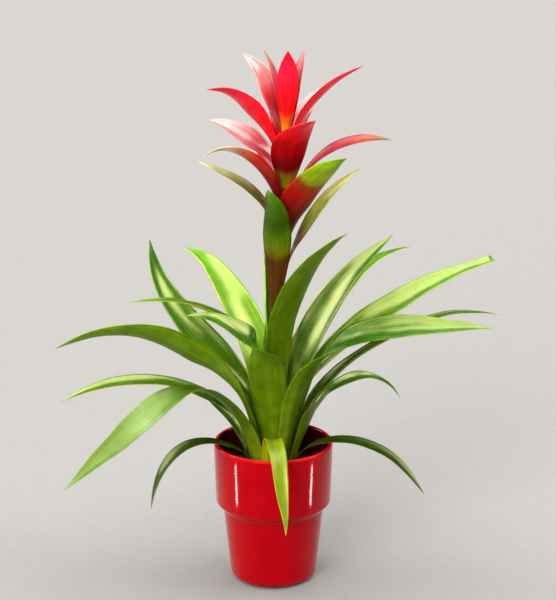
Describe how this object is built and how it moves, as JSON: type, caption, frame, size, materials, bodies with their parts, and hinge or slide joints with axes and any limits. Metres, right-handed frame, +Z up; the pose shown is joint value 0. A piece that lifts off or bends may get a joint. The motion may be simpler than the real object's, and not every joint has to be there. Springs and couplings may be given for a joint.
{
  "type": "potted bromeliad",
  "caption": "Flowering bromeliad with a rosette of arching strap leaves and a stalk of red bracts, in a stepped glazed pot of potting mix.",
  "frame": {"origin": "centre of the pot's flat underside, on the surface that the pot stands on", "axes": "+Z up along the pot axis and the flower stalk, +X to the right and -Y to the front as the plant is seen in the picture"},
  "size_m": [0.4778, 0.4211, 0.5887],
  "materials": {
    "red_glaze": "gloss",
    "potting_mix": "matte",
    "stalk_green": "satin",
    "leaf_green": "satin",
    "bract_red": "satin",
    "bract_olive": "satin",
    "bract_brick": "satin",
    "bract_lime": "satin"
  },
  "bodies": {
    "root": {"pot": "red_glaze", "potting_mix": "potting_mix", "stem": "stalk_green", "leaf_01": "leaf_green", "leaf_02": "leaf_green", "leaf_03": "leaf_green", "leaf_04": "leaf_green", "leaf_05": "leaf_green", "leaf_06": "leaf_green", "leaf_07": "leaf_green", "leaf_08": "leaf_green", "leaf_09": "leaf_green", "leaf_10": "leaf_green", "leaf_11": "leaf_green", "leaf_12": "leaf_green", "leaf_13": "leaf_green", "leaf_14": "leaf_green", "leaf_15": "leaf_green", "leaf_16": "leaf_green", "leaf_17": "leaf_green", "leaf_18": "leaf_green", "leaf_19": "leaf_green", "leaf_20": "leaf_green", "leaf_21": "leaf_green", "leaf_22": "leaf_green", "leaf_23": "leaf_green", "bract_01": "bract_red", "bract_02": "bract_red", "bract_03": "bract_red", "bract_04": "bract_red", "bract_05": "bract_red", "bract_06": "bract_red", "bract_07": "bract_red", "bract_08": "bract_red", "bract_09": "bract_red", "bract_10": "bract_red", "bract_11": "bract_red", "bract_12": "bract_olive", "bract_13": "bract_brick", "bract_14": "bract_lime", "bract_15": "bract_olive", "bract_16": "bract_lime", "bract_17": "bract_olive", "bract_18": "bract_red", "bract_19": "bract_red", "bract_20": "bract_red", "bract_21": "bract_red", "bract_22": "bract_red"}
  },
  "joints": []
}
